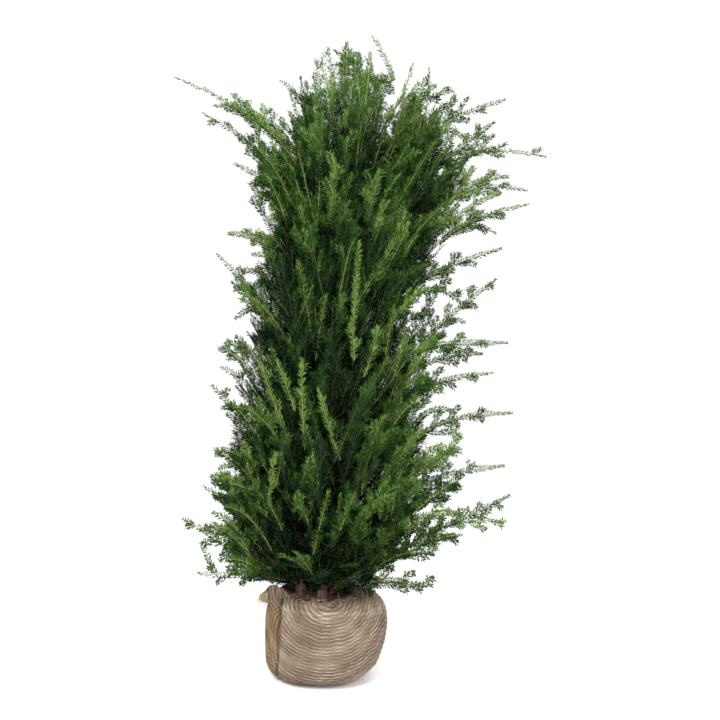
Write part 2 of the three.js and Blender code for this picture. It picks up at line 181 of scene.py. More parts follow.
def noise_material(name, dark, pale, scale, roughness, bump, stretch=(1, 1, 1)):
    """A two-colour material broken up by noise, with a little relief of its own."""
    material, nodes, links = new_material(name)
    shader = nodes["Principled BSDF"]
    shader.inputs["Roughness"].default_value = roughness
    place = nodes.new("ShaderNodeTexCoord")
    mapping = nodes.new("ShaderNodeMapping")
    mapping.inputs["Scale"].default_value = stretch
    links.new(place.outputs["Object"], mapping.inputs["Vector"])
    noise = nodes.new("ShaderNodeTexNoise")
    noise.inputs["Scale"].default_value = scale
    noise.inputs["Detail"].default_value = 6
    noise.inputs["Roughness"].default_value = 0.65
    links.new(mapping.outputs["Vector"], noise.inputs["Vector"])
    ramp = nodes.new("ShaderNodeValToRGB")
    ramp.color_ramp.elements[0].position = 0.36
    ramp.color_ramp.elements[0].color = (*dark, 1)
    ramp.color_ramp.elements[1].position = 0.64
    ramp.color_ramp.elements[1].color = (*pale, 1)
    links.new(noise.outputs["Fac"], ramp.inputs["Fac"])
    links.new(ramp.outputs["Color"], shader.inputs["Base Color"])
    relief = nodes.new("ShaderNodeBump")
    relief.inputs["Strength"].default_value = bump
    relief.inputs["Distance"].default_value = 0.002
    links.new(noise.outputs["Fac"], relief.inputs["Height"])
    links.new(relief.outputs["Normal"], shader.inputs["Normal"])
    return material


def burlap_material():
    """Jute: pale on the ridges and dark in the grooves, as painted light and shade, by the mesh's own ridge
    value, with a weave.
    """
    material, nodes, links = new_material("burlap_cloth")
    shader = nodes["Principled BSDF"]
    shader.inputs["Roughness"].default_value = 0.95
    shader.inputs["Specular IOR Level"].default_value = 0.15
    ridge = nodes.new("ShaderNodeAttribute")
    ridge.attribute_name = "ridge"
    place = nodes.new("ShaderNodeTexCoord")
    patches = nodes.new("ShaderNodeTexNoise")
    patches.inputs["Scale"].default_value = 14
    patches.inputs["Detail"].default_value = 8
    links.new(place.outputs["Object"], patches.inputs["Vector"])
    fibres = nodes.new("ShaderNodeTexNoise")
    fibres.inputs["Scale"].default_value = 420
    fibres.inputs["Detail"].default_value = 3
    links.new(place.outputs["Object"], fibres.inputs["Vector"])
    add = nodes.new("ShaderNodeMath")
    add.operation = "MULTIPLY_ADD"
    links.new(patches.outputs["Fac"], add.inputs[0])
    add.inputs[1].default_value = 0.55
    links.new(ridge.outputs["Fac"], add.inputs[2])
    speckle = nodes.new("ShaderNodeMath")
    speckle.operation = "MULTIPLY_ADD"
    links.new(fibres.outputs["Fac"], speckle.inputs[0])
    speckle.inputs[1].default_value = 0.5
    links.new(add.outputs[0], speckle.inputs[2])
    ramp = nodes.new("ShaderNodeValToRGB")
    stops = ((0.42, (0.026, 0.017, 0.010)), (0.72, (0.090, 0.063, 0.041)),
             (0.98, (0.198, 0.148, 0.106)), (1.25, (0.43, 0.350, 0.282)))
    elements = ramp.color_ramp.elements
    while len(elements) < len(stops):
        elements.new(0.5)
    for element, (position, colour) in zip(elements, stops):
        element.position = position / 1.4
        element.color = (*colour, 1)
    scale = nodes.new("ShaderNodeMath")
    scale.operation = "DIVIDE"
    links.new(speckle.outputs[0], scale.inputs[0])
    scale.inputs[1].default_value = 1.4
    links.new(scale.outputs[0], ramp.inputs["Fac"])
    golden = nodes.new("ShaderNodeAttribute")
    golden.attribute_name = "panel"
    tone = nodes.new("ShaderNodeMixRGB")
    tone.blend_type = "MULTIPLY"
    links.new(golden.outputs["Fac"], tone.inputs["Fac"])
    links.new(ramp.outputs["Color"], tone.inputs["Color1"])
    tone.inputs["Color2"].default_value = (0.66, 0.58, 0.44, 1)
    links.new(tone.outputs["Color"], shader.inputs["Base Color"])
    relief = nodes.new("ShaderNodeBump")
    relief.inputs["Strength"].default_value = 0.6
    relief.inputs["Distance"].default_value = 0.0012
    links.new(fibres.outputs["Fac"], relief.inputs["Height"])
    links.new(relief.outputs["Normal"], shader.inputs["Normal"])
    return material


# Needle kinds, darkest first. deep_shade (near black) and blue_shade (dark bluish green) are painted shade
# for the inside, the foot and the left side of the plant. mid and green are the needles' own greens, and
# fresh and young are the pale new growth. The kinds are also stepped lighter and darker as painted light.
LEAF_COLOURS = {
    "deep_shade": (0.0009, 0.0034, 0.0011),
    "blue_shade": (0.0042, 0.0150, 0.0058),
    "mid": (0.0125, 0.0370, 0.0080),
    "green": (0.0360, 0.0860, 0.0140),
    "fresh": (0.0900, 0.1630, 0.0300),
    "young": (0.1500, 0.2450, 0.0480),
}
LEAF_KINDS = list(LEAF_COLOURS)
LEAF = {name: leaf_material(name, colour) for name, colour in LEAF_COLOURS.items()}
BARK = noise_material("bark_brown", (0.05, 0.028, 0.018), (0.22, 0.125, 0.075), 60, 0.85, 0.8, (1, 1, 0.25))
TWIG_BROWN = noise_material("twig_brown", (0.06, 0.034, 0.02), (0.25, 0.15, 0.085), 90, 0.75, 0.4)
# The older and thin twigs: a dark olive, darkened beyond their own colour as painted shade inside the
# plant.
TWIG_OLIVE_SHADED = noise_material("twig_olive_shaded", (0.009, 0.011, 0.004), (0.055, 0.052, 0.018), 70, 0.8, 0.3)
TWIG_GREEN = noise_material("twig_green", (0.09, 0.11, 0.022), (0.24, 0.25, 0.06), 70, 0.6, 0.3)
SOIL = noise_material("soil_dark", (0.02, 0.013, 0.009), (0.11, 0.075, 0.05), 120, 1.0, 1.0)
STRAW = noise_material("straw", (0.30, 0.21, 0.12), (0.58, 0.46, 0.30), 150, 0.8, 0.4)
BURLAP = burlap_material()

# ---------------------------------------------------------------- outline of the foliage

SHOULDER_OPENING = 0.45
ANGLES = 48
LEVELS = 100
mass_names = sorted(name for name in NODES if name.startswith("mass_"))
trunk_line = centreline("trunk", 21)
trunk_line = trunk_line[np.argsort(trunk_line[:, 2])]
level_heights = np.linspace(FOLIAGE_LOW, FOLIAGE_HIGH, LEVELS)


def axis_at(height):
    """The trunk's middle at some heights."""
    height = np.asarray(height, float)
    return np.stack([np.interp(height, trunk_line[:, 2], trunk_line[:, k]) for k in (0, 1)] + [height], -1)


def measure_outline():
    """Reach of the masses from the trunk, by level and angle, with the clefts between them filled."""
    tree = node_tree(mass_names)
    reach = np.zeros((LEVELS, ANGLES))
    for row, height in enumerate(level_heights):
        centre = Vector(axis_at(height))
        for k in range(ANGLES):
            angle = 2 * math.pi * k / ANGLES
            outward = Vector((math.cos(angle), math.sin(angle), 0))
            hit = tree.ray_cast(centre + outward, -outward, 1.0)
            reach[row, k] = 1 - hit[3] if hit[0] else 0
    for _ in range(3):
        around = np.maximum(np.roll(reach, 1, 1), np.roll(reach, -1, 1))
        below = np.vstack([reach[:1], reach[:-1]])
        above = np.vstack([reach[1:], reach[-1:]])
        neighbours = 0.25 * (np.roll(reach, 1, 1) + np.roll(reach, -1, 1) + below + above)
        reach = np.maximum(reach, np.minimum(neighbours, around))
    return reach


OUTLINE = measure_outline()


def value_noise(points, scale, seed):
    """Smooth noise from a few random waves, between about -1 and 1."""
    waves = np.random.default_rng(seed)
    total = np.zeros(points.shape[:-1])
    for _ in range(7):
        direction = waves.normal(0, 1, 3)
        total += np.sin(points @ (direction * scale) + waves.uniform(0, 6.28))
    return total / 3.2


def reach_at(angle, height):
    """Reach of the foliage at some angles and heights."""
    angle, height = np.atleast_1d(angle), np.atleast_1d(height)
    row = np.clip((height - FOLIAGE_LOW) / (FOLIAGE_HIGH - FOLIAGE_LOW) * (LEVELS - 1), 0, LEVELS - 1.001)
    column = np.mod(angle, 2 * np.pi) / (2 * np.pi) * ANGLES
    r0, c0 = row.astype(int), column.astype(int) % ANGLES
    fr, fc = row - r0, column - np.floor(column)
    c1 = (c0 + 1) % ANGLES
    low = OUTLINE[r0, c0] * (1 - fc) + OUTLINE[r0, c1] * fc
    high = OUTLINE[r0 + 1, c0] * (1 - fc) + OUTLINE[r0 + 1, c1] * fc
    return low * (1 - fr) + high * fr


def body_reach(angle, height):
    """Reach of the dense foliage: at the left shoulder only loose arching shoots fill the outline."""
    left = np.clip(-1.6 * np.cos(angle) - 0.2, 0, 1)
    shoulder = np.interp(height, [1.42, 1.52, 1.66, 1.95, 2.05], [0, 0.3, 1, 1, 0.4])
    point = np.interp(height, [1.80, 1.93, 2.02], [1, 0.8, 0.6])
    return reach_at(angle, height) * (1 - SHOULDER_OPENING * left * shoulder) * point


def around(angle, reach, height):
    """Points at an angle and reach from the trunk."""
    centre = axis_at(height)
    return centre + np.stack([reach * np.cos(angle), reach * np.sin(angle), np.zeros_like(reach)], -1)


# ---------------------------------------------------------------- limbs


def tube(line, radii, sides, relief=None):
    """Vertices and quads of a tube along a polyline."""
    heading = unit(np.gradient(line, axis=0))
    reference = np.array([1.0, 0.0, 0.0])
    side = unit(np.cross(heading, np.cross(reference, heading)) + 1e-6)
    lift = np.cross(heading, side)
    angle = np.linspace(0, 2 * np.pi, sides, endpoint=False)
    radius = np.repeat(radii[:, None], sides, axis=1)
    if relief is not None:
        radius = radius * (1 + relief(line, angle))
    vertices = (line[:, None] + radius[..., None] * (
        np.cos(angle)[None, :, None] * side[:, None] + np.sin(angle)[None, :, None] * lift[:, None]))
    rings = len(line)
    row, column = np.meshgrid(np.arange(rings - 1), np.arange(sides), indexing="ij")
    a = (row * sides + column).ravel()
    b = (row * sides + (column + 1) % sides).ravel()
    faces = np.stack([a, b, b + sides, a + sides], 1)
    return vertices.reshape(-1, 3), faces


class Joined:
    """Collects the meshes of one piece."""

    def __init__(self):
        self.vertices, self.faces, self.count = [], [], 0

    def add(self, vertices, faces):
        self.vertices.append(vertices)
        self.faces.append(faces + self.count)
        self.count += len(vertices)

    def build(self, name, material, replaced=(), smooth=True):
        vertices, faces = np.vstack(self.vertices), np.vstack(self.faces)
        return mesh_piece(name, vertices, faces, material, replaced, smooth)


def smooth_line(line, count):
    """Resamples a polyline evenly, with its corners rounded."""
    along = np.r_[0, np.cumsum(np.linalg.norm(np.diff(line, axis=0), axis=1))]
    even = np.linspace(0, along[-1], count)
    fine = np.stack([np.interp(even, along, line[:, k]) for k in range(3)], 1)
    for _ in range(max(2, count // len(line))):
        fine[1:-1] = 0.25 * fine[:-2] + 0.5 * fine[1:-1] + 0.25 * fine[2:]
    return fine


def bark_relief(line, angle):
    """Long flaking furrows that twist a little round the limb."""
    z = line[:, 2][:, None]
    turn = angle[None] + 1.3 * z
    furrow = 0.09 * np.sin(7 * turn + 3 * np.sin(9 * z)) + 0.05 * np.sin(13 * turn - 21 * z)
    return furrow + 0.05 * np.sin(43 * z + 2 * turn) * np.sin(3 * turn)


def limb_radii(name, line):
    """A limb's radius along its line, with a flare where it meets the soil."""
    foot, tip = LIMB_RADII["trunk" if name == "trunk" else "stem"]
    share = np.linspace(0, 1, len(line))
    flare = FLARE_SHARE * foot * np.exp(-(line[:, 2] - SOIL_TOP) / FLARE_HEIGHT)
    return foot + (tip - foot) * share + flare


stem_names = sorted(name for name in NODES if name.startswith("stem_"))
limb_lines = []


def build_limbs():
    """The trunk and the stems that the frame has, with the bark's relief."""
    for name in ["trunk", *stem_names]:
        rings = 21 if name == "trunk" else 11
        line = smooth_line(centreline(name, rings), 150 if name == "trunk" else 60)
        line[0, 2] = SOIL_TOP - 0.004
        joined = Joined()
        joined.add(*tube(line, limb_radii(name, line), 20 if name == "trunk" else 14, bark_relief))
        joined.build(f"{name}_bark", BARK, [name])
        limb_lines.append(line)


def leader_line(angle, top, foot_angle, share_out):
    """Middle line of one hidden leader, from the soil up to its top."""
    height = np.linspace(SOIL_TOP - 0.004, top, 16)
    share = (height - height[0]) / (height[-1] - height[0])
    far = share_out * reach_at(np.full(len(height), angle), np.maximum(height, 0.45))
    reach = ROOT_RING + (far - ROOT_RING) * share ** 1.1
    turn = foot_angle + (angle - foot_angle) * share ** 0.6
    return around(turn, reach, height)


def build_leaders():
    """More stems from the same root, which the foliage hides for most of their height."""
    joined = Joined()
    for k in range(LEADER_COUNT):
        angle = k * GOLDEN_ANGLE + rng.normal(0, 0.12)
        top = rng.uniform(0.75, 1.86)
        foot_angle = angle + rng.normal(0, 0.5)
        line = smooth_line(leader_line(angle, top, foot_angle, rng.uniform(0.45, 0.72)), LEADER_POINTS)
        sway = 0.004 * np.sin(np.linspace(0, 9, LEADER_POINTS) + k)
        line += sway[:, None] * np.array([math.sin(angle), -math.cos(angle), 0])
        share = np.linspace(0, 1, LEADER_POINTS)
        foot = rng.uniform(0.0045, 0.0085)
        joined.add(*tube(line, foot * (1 - 0.72 * share), 6))
        limb_lines.append(line)
    joined.build("hidden_leaders", BARK)


build_limbs()
build_leaders()
limb_points = np.vstack([line[2:] for line in limb_lines])

# ---------------------------------------------------------------- shoots


class Shoots:
    """Quadratic curves that bear twigs and needles, with what each one is like."""

    def __init__(self):
        self.rows = []

    def add(self, points, flat, bare, radius, kind, ranks=0.0, size=1.0, width=1.0):
        """points (n, 3, 3); flat: the vector that the ranks spread along; bare: share without needles."""
        n = len(points)
        values = (bare, radius, kind, ranks, size, width)
        columns = [np.broadcast_to(value, (n,)).astype(float) for value in values]
        self.rows.append([points, np.broadcast_to(flat, (n, 3)).copy(), *columns])

    def joined(self):
        return [np.concatenate(column) for column in zip(*self.rows)]


KIND = {name: k for k, name in enumerate(LEAF_KINDS)}
shoots = Shoots()


def pick(weights, count):
    """Leaf kinds dealt out at random by weight."""
    names = list(weights)
    odds = np.array([weights[name] for name in names], float)
    return np.array([KIND[name] for name in names])[rng.choice(len(names), count, p=odds / odds.sum())]


def side_shoots(points, flat, kind, per_metre, longest, first=0.2, keep_inside=True, lean=43):
    """Shorter shoots to both sides of each shoot, shorter towards its tip."""
    length = curve_length(points)
    counts = np.maximum(2, np.round(length * (1 - first) * per_metre)).astype(int)
    parent = np.repeat(np.arange(len(points)), counts)
    index = np.concatenate([np.arange(c) for c in counts])
    share = first + (1 - first) * (index + rng.uniform(0.2, 0.8, len(index))) / counts[parent] * 0.94
    start = bezier(points[parent], share)
    heading = bezier_heading(points[parent], share)
    side = unit(np.cross(np.cross(heading, flat[parent]), heading))
    sign = np.where(index % 2 == 0, 1.0, -1.0)[:, None]
    lean_angle = np.radians(rng.normal(lean, 8, len(index)))[:, None]
    normal = np.cross(heading, side)
    tilt = rng.normal(0, 0.28, (len(index), 1))
    out = heading * np.cos(lean_angle) + (side * sign + normal * tilt) * np.sin(lean_angle)
    size = longest * (1.06 - 0.78 * share) * rng.uniform(0.6, 1.15, len(index))
    end = start + unit(out + 0.16 * heading + np.array([0, 0, 0.14])) * size[:, None]
    if keep_inside:
        end = hold_inside(start, end, 1.05)
    middle = start + unit(out) * (0.52 * np.linalg.norm(end - start, axis=1, keepdims=True))
    curves = np.stack([start, middle, end], 1)
    return curves, unit(side + normal * rng.normal(0, 0.3, (len(index), 1))), kind[parent], parent, share


def hold_inside(start, end, limit):
    """Shortens curves to the farthest point that is still inside the outline, times a limit."""
    kept = np.full(len(start), 0.12)
    for share in np.linspace(0.12, 1, 12):
        spot = start + (end - start) * share
        offset = spot - axis_at(spot[:, 2])
        angle = np.arctan2(offset[:, 1], offset[:, 0])
        allowed = limit * body_reach(angle, spot[:, 2]) + 0.006
        inside = (np.hypot(offset[:, 0], offset[:, 1]) < allowed) & (spot[:, 2] < FOLIAGE_HIGH + 0.02)
        kept[inside] = share
    return start + (end - start) * kept[:, None]


def grow_from_limbs(tip, length, climb):
    """Roots for shoots: the nearest limb point to where each would start."""
    centre = axis_at(tip[:, 2])
    offset = tip - centre
    outward = unit(offset * np.array([1, 1, 0]))
    heading = outward * np.cos(climb)[:, None] + UP * np.sin(climb)[:, None]
    wanted = tip - length[:, None] * heading
    wanted[:, 2] = np.maximum(wanted[:, 2], SOIL_TOP + 0.03)
    root = np.empty_like(wanted)
    for start in range(0, len(wanted), 200):
        block = wanted[start:start + 200]
        nearest = np.linalg.norm(block[:, None] - limb_points[None], axis=2).argmin(axis=1)
        root[start:start + 200] = limb_points[nearest]
    return root


def rows_of_tips(spacing, low, high, depth):
    """Tips spread evenly over the outline, each pulled in or pushed out a little."""
    tips, angles = [], []
    height = low
    while height < high:
        mean = reach_at(np.linspace(0, 2 * np.pi, 24, endpoint=False), np.full(24, height)).mean()
        count = max(5, int(2 * math.pi * mean / spacing))
        angle = (np.arange(count) + rng.uniform(0, 1, count)) / count * 2 * np.pi + rng.uniform(0, 6)
        levels = height + rng.uniform(-0.5, 0.5, count) * spacing
        levels = np.clip(levels, FOLIAGE_LOW + 0.004, FOLIAGE_HIGH - 0.004)
        reach = body_reach(angle, levels) * depth(count)
        tips.append(around(angle, reach, levels))
        angles.append(angle)
        height += spacing
    return np.vstack(tips), np.concatenate(angles)


def climb_of(tip, spread):
    """How steeply shoots climb: nearly level at the foot, steep in the body, arching at the shoulder."""
    z = tip[:, 2]
    middle = np.interp(z, [0.27, 0.36, 0.55, 1.3, 1.6, 1.85, 2.0], [8, 30, 52, 60, 52, 62, 78])
    return np.radians(middle + rng.normal(0, spread, len(z)))


def tint(points, angle):
    """Leaf kind by place: darker on the left as painted shade; fresher at the top, the right and low at the
    front, partly as new growth and partly as painted light.
    """
    z = points[:, 2]
    n = len(points)
    front = 0.5 - 0.5 * np.sin(angle)
    fresh = 0.45 * np.clip((z - 1.3) / 0.4, 0, 1) + 0.9 * np.clip((z - 1.6) / 0.3, 0, 1)
    # Painted light and shade: lighter kinds towards the right, darker towards the left.
    fresh += 0.18 * np.cos(angle)
    fresh += 0.3 * front * np.exp(-((z - 0.6) / 0.2) ** 2)
    roll = fresh + rng.normal(0, 0.4, n)
    kind = np.full(n, KIND["mid"])
    kind[roll < 0.12] = KIND["blue_shade"]
    kind[roll < -0.45] = KIND["deep_shade"]
    kind[roll > 0.62] = KIND["green"]
    kind[roll > 1.15] = KIND["fresh"]
    return kind


def shade_along(kind, share, start):
    """Makes the old inner part of a spray darker and its new end fresher, partly for the needles' age and
    partly as painted shade inside the plant; sprays that start deep inside the lower plant get darker
    still, as painted shade.
    """
    roll = rng.uniform(0, 1, len(share))
    step = np.where((share > 0.82) & (roll < 0.45), 1, 0)
    step = np.where((share < 0.68) & (roll < 0.8), -1, step)
    step = np.where((share < 0.55) & (roll < 0.6), -2, step)
    # Painted shade: below 1.75 m, sprays that start deep inside the outline are stepped one or two kinds
    # darker.
    offset = start - axis_at(start[:, 2])
    angle = np.arctan2(offset[:, 1], offset[:, 0])
    depth = np.hypot(offset[:, 0], offset[:, 1]) / body_reach(angle, start[:, 2])
    low = start[:, 2] < 1.75
    step = step - (low & (depth < 0.8)) - (low & (depth < 0.66))
    return np.clip(kind + step, KIND["deep_shade"], KIND["young"])


def open_share(angle, height):
    """Share of the sprays kept, so that thin patches show the dark inside."""
    spots = np.stack([np.cos(angle) * 2.3, np.sin(angle) * 2.3, height * 8.5], -1)
    patches = value_noise(spots, 1.0, 77)
    top = np.interp(height, [1.66, 1.82], [1, 0.18])
    return top * np.clip(0.86 + 0.6 * patches, 0.2, 1)


def build_body():
    """The main sprays: one flat plume for each tip on the outline."""
    low, high = FOLIAGE_LOW + 0.01, FOLIAGE_HIGH - 0.01
    tip, angle = rows_of_tips(0.056, low, high, lambda n: rng.uniform(0.86, 1.06, n))
    kept = rng.uniform(0, 1, len(tip)) < open_share(angle, tip[:, 2])
    kept &= (tip[:, 2] > 0.33) | (rng.uniform(0, 1, len(tip)) < 0.45)
    tip, angle = tip[kept], angle[kept]
    n = len(tip)
    length = rng.uniform(0.24, 0.42, n) * np.interp(tip[:, 2], [0.27, 0.5, 2.0], [0.6, 1, 0.9])
    climb = climb_of(tip, 9)
    root = grow_from_limbs(tip, length, climb)
    middle = 0.5 * (root + tip) + UP * (rng.normal(0.0, 0.045, n) * length)[:, None]
    outward = unit((tip - axis_at(tip[:, 2])) * np.array([1, 1, 0]))
    middle += outward * (0.05 * length)[:, None]
    curves = np.stack([root, middle, tip], 1)
    flat = unit(np.cross(UP, outward) + rng.normal(0, 0.4, (n, 3)))
    kind = tint(tip, angle)
    bare = np.clip(1 - 0.30 / curve_length(curves), 0.12, 0.75)
    shoots.add(curves, flat, bare, 0.0018, kind)
    side, side_flat, side_kind, _, share = side_shoots(curves, flat, kind, 29, 0.13, first=0.4, lean=36)
    side_kind = shade_along(side_kind, share, side[:, 0])
    shoots.add(side, side_flat, 0.06, 0.0012, side_kind)
    long = np.linalg.norm(side[:, 2] - side[:, 0], axis=1) > 0.07
    small, small_flat, small_kind, _, _ = side_shoots(
        side[long], side_flat[long], side_kind[long], 15, 0.05, first=0.2)
    shoots.add(small, small_flat, 0.0, 0.0007, small_kind, size=0.9)


def build_inner():
    """Dark, short sprays in the depth of the plant, which close the view through it; their near-black and
    dark bluish kinds are painted shade.
    """
    low, high = FOLIAGE_LOW + 0.03, FOLIAGE_HIGH - 0.30
    tip, _ = rows_of_tips(0.066, low, high, lambda n: rng.uniform(0.3, 0.8, n))
    n = len(tip)
    length = rng.uniform(0.12, 0.22, n)
    root = grow_from_limbs(tip, length, np.radians(rng.normal(35, 15, n)))
    curves = np.stack([root, 0.5 * (root + tip), tip], 1)
    outward = unit((tip - axis_at(tip[:, 2])) * np.array([1, 1, 0]))
    flat = unit(np.cross(UP, outward) + rng.normal(0, 0.4, (n, 3)))
    # Painted shade: the inner sprays take only the two shade kinds.
    kind = pick({"deep_shade": 5, "blue_shade": 1}, n)
    shoots.add(curves, flat, 0.2, 0.002, kind, ranks=0.5, size=1.7)
    side, side_flat, side_kind, _, _ = side_shoots(curves, flat, kind, 24, 0.10, first=0.3)
    shoots.add(side, side_flat, 0.05, 0.001, side_kind, ranks=0.5, size=1.7)


def build_uprights():
    """Upright young shoots that stand at the face of the plant, bright against the dark."""
    n = 84
    angle = rng.uniform(0, 2 * np.pi, n)
    height = rng.triangular(0.34, 0.5, 1.15, n)
    foot_reach = rng.uniform(0.72, 0.92, n) * reach_at(angle, height)
    root = around(angle, foot_reach, height)
    length = rng.uniform(0.14, 0.28, n)
    outward = np.stack([np.cos(angle), np.sin(angle), np.zeros(n)], 1)
    across = np.cross(UP, outward)
    lean = outward * rng.uniform(0.05, 0.25, n)[:, None] + across * rng.normal(0, 0.3, n)[:, None]
    tip = hold_inside(root, root + unit(lean + UP) * length[:, None], 1.12)
    middle = 0.5 * (root + tip) + across * rng.normal(0, 0.012, n)[:, None]
    curves = np.stack([root, middle, tip], 1)
    kind = pick({"mid": 2, "green": 4, "fresh": 2.4, "young": 0.3}, n)
    shoots.add(curves, across, 0.02, 0.0017, kind, ranks=1.0, size=0.85)
    side, side_flat, side_kind, _, _ = side_shoots(curves, across, kind, 16, 0.05, first=0.25)
    shoots.add(side, side_flat, 0.05, 0.001, side_kind, size=0.85)


def build_fans():
    """Long straight shoots that fan up and outwards over the face of the upper half."""
    n = 125
    angle = rng.uniform(0, 2 * np.pi, n)
    height = rng.triangular(0.75, 1.35, 1.60, n)
    root = around(angle, rng.uniform(0.55, 0.82, n) * reach_at(angle, height), height)
    outward = np.stack([np.cos(angle), np.sin(angle), np.zeros(n)], 1)
    to_side = np.stack([np.sign(np.cos(angle)) * np.abs(np.cos(angle)) ** 0.3, np.zeros(n), np.zeros(n)], 1)
    lean = 0.30 * outward + 0.6 * to_side + rng.normal(0, 0.22, (n, 1)) * np.cross(UP, outward)
    tip = root + unit(lean + np.array([0, 0, 1.15])) * rng.uniform(0.26, 0.44, n)[:, None]
    tip = hold_inside(root, tip, 1.06)
    curves = np.stack([root, 0.5 * (root + tip) + np.array([0, 0, 0.012]), tip], 1)
    flat = unit(np.cross(outward, unit(tip - root)))
    kind = pick({"mid": 3, "green": 3.5, "fresh": 1}, n)
    shoots.add(curves, flat, 0.03, 0.002, kind, ranks=0.3)
    side, side_flat, side_kind, _, share = side_shoots(curves, flat, kind, 24, 0.075, first=0.15)
    shoots.add(side, side_flat, 0.05, 0.001, shade_along(side_kind, share, side[:, 0]), size=0.9)


def build_top():
    """Upright leaders over the whole top, close together but apart, and the trunk's own needles."""
    n = 38
    height = rng.uniform(1.70, 1.93, n)
    angle = rng.uniform(0, 2 * np.pi, n)
    root = around(angle, rng.uniform(0.1, 0.8, n) * body_reach(angle, height), height)
    outward = np.stack([np.cos(angle), np.sin(angle), np.zeros(n)], 1)
    length = rng.uniform(0.10, 0.22, n)
    tip = root + unit(outward * rng.uniform(0.05, 0.45, n)[:, None] + UP) * length[:, None]
    tip[:, 2] = np.minimum(tip[:, 2], FOLIAGE_HIGH - 0.02)
    curves = np.stack([root, root + (tip - root) * 0.5 + outward * 0.012, tip], 1)
    kind = pick({"green": 3, "fresh": 2}, n)
    flat = np.cross(UP, outward)
    shoots.add(curves, flat, 0.0, 0.0018, kind, ranks=0.9, size=0.85, width=1.3)
    side, side_flat, side_kind, _, _ = side_shoots(
        curves, flat, kind, 15, 0.055, first=0.0, keep_inside=False)
    shoots.add(side, side_flat, 0.05, 0.0009, side_kind, size=0.88)
    leader = axis_at(np.array([1.85, (1.85 + PLANT_TOP) / 2, PLANT_TOP]))[None]
    shoots.add(leader, np.array([[1.0, 0.4, 0]]), 0.0, 0.0016, KIND["green"], ranks=0.5, size=0.85)


def build_foot():
    """Thin stems that fan out of the soil, bare at the foot, and the low sprays on them."""
    n = 84
    angle = rng.uniform(0, 2 * np.pi, n)
    height = rng.triangular(0.266, 0.31, 0.50, n)
    spread = rng.uniform(0.35, 0.9, n)
    height[:30] = rng.uniform(0.246, 0.30, 30)
    spread[:30] = rng.uniform(0.22, 0.5, 30)
    tip = around(angle, spread * reach_at(angle, height), height)
    foot = axis_at(np.full(n, SOIL_TOP - 0.004))
    outward = np.stack([np.cos(angle), np.sin(angle), np.zeros(n)], 1)
    foot = foot + outward * rng.uniform(0.012, 0.05, n)[:, None]
    middle = foot * 0.45 + tip * 0.55 - 0.012 * UP
    middle -= outward * rng.uniform(0.0, 0.03, n)[:, None]
    stems = np.stack([foot, middle, tip], 1)
    # Painted shade: the needles on the foot stems and most of the low sprays under the plant take the shade
    # kinds.
    shoots.add(stems, outward, 0.93, 0.0034, np.full(n, KIND["blue_shade"]))
    flat = unit(np.cross(UP, outward) + rng.normal(0, 0.4, (n, 3)))
    kind = pick({"deep_shade": 2, "blue_shade": 3, "mid": 3}, n)
    side, side_flat, side_kind, _, _ = side_shoots(stems, flat, kind, 26, 0.13, first=0.5)
    side[..., 2] = np.maximum(side[..., 2], 0.252)
    shoots.add(side, side_flat, 0.1, 0.0012, side_kind)
    small, small_flat, small_kind, _, _ = side_shoots(side, side_flat, side_kind, 24, 0.05, first=0.25)
    small[..., 2] = np.maximum(small[..., 2], 0.250)
    shoots.add(small, small_flat, 0.0, 0.0007, small_kind, size=0.9)


def curve_through(start, middle, end):
    return np.stack([start, 2 * middle - 0.5 * (start + end), end])


def add_long_shoot(curve, kind, inner=0.36, full=True):
    """A protruding shoot with its side shoots, and the steeper hidden part that carries it."""
    root, tip = curve[0], curve[2]
    heading = unit((curve[1] - root)[None])
    start = grow_from_limbs(root[None], np.array([inner]), np.array([math.radians(64)]))[0]
    reach = np.linalg.norm(root - start)
    carrier = np.stack([start, root - heading[0] * 0.42 * reach, root])[None]
    points = curve[None]
    chord = unit((tip - root)[None])
    across = unit(np.cross(chord, np.array([[0.05, 0, 1.0]])))
    roll = rng.normal(0, 0.22)
    flat = np.cross(across, chord) * math.cos(roll) + across * math.sin(roll)
    if chord[0, 2] > 0.85:
        flat = unit(np.array([[1.0, 0.3, 0]]))
    shoots.add(points, flat, 0.0, 0.0022, max(kind, KIND["green"]), ranks=0.5, size=0.88, width=COMB_WIDTH)
    length = float(curve_length(points)[0])
    bearing = [(points, 0.0, 24, min(0.10, 0.42 * length), 0.5)] if full else []
    offset = (root - axis_at(root[2]))[:2]
    at_top = root[2] > TOP_STARTS
    if at_top or np.hypot(*offset) < reach_at(np.arctan2(offset[1], offset[0]), root[2]):
        shoots.add(carrier, flat, 0.3, 0.0023, max(kind - 1, 1), size=0.85)
        bearing.append((carrier, 0.35, 26, 0.11, 1.0))
    for line, first, per_metre, longest, fewest in bearing:
        side, side_flat, side_kind, _, share = side_shoots(
            line, flat, np.array([kind]), per_metre, longest, first=first, keep_inside=False, lean=36)
        keep = share < rng.uniform(fewest, 1.0, len(share))
        side, side_flat, side_kind = side[keep], side_flat[keep], side_kind[keep]
        shoots.add(side, side_flat, 0.05, 0.0013, side_kind, ranks=0.3, size=0.85, width=COMB_WIDTH)
        small, small_flat, small_kind, _, _ = side_shoots(
            side, side_flat, side_kind, 20, 0.035, first=0.3, keep_inside=False)
        shoots.add(small, small_flat, 0.0, 0.0008, small_kind, size=0.8, width=COMB_WIDTH)


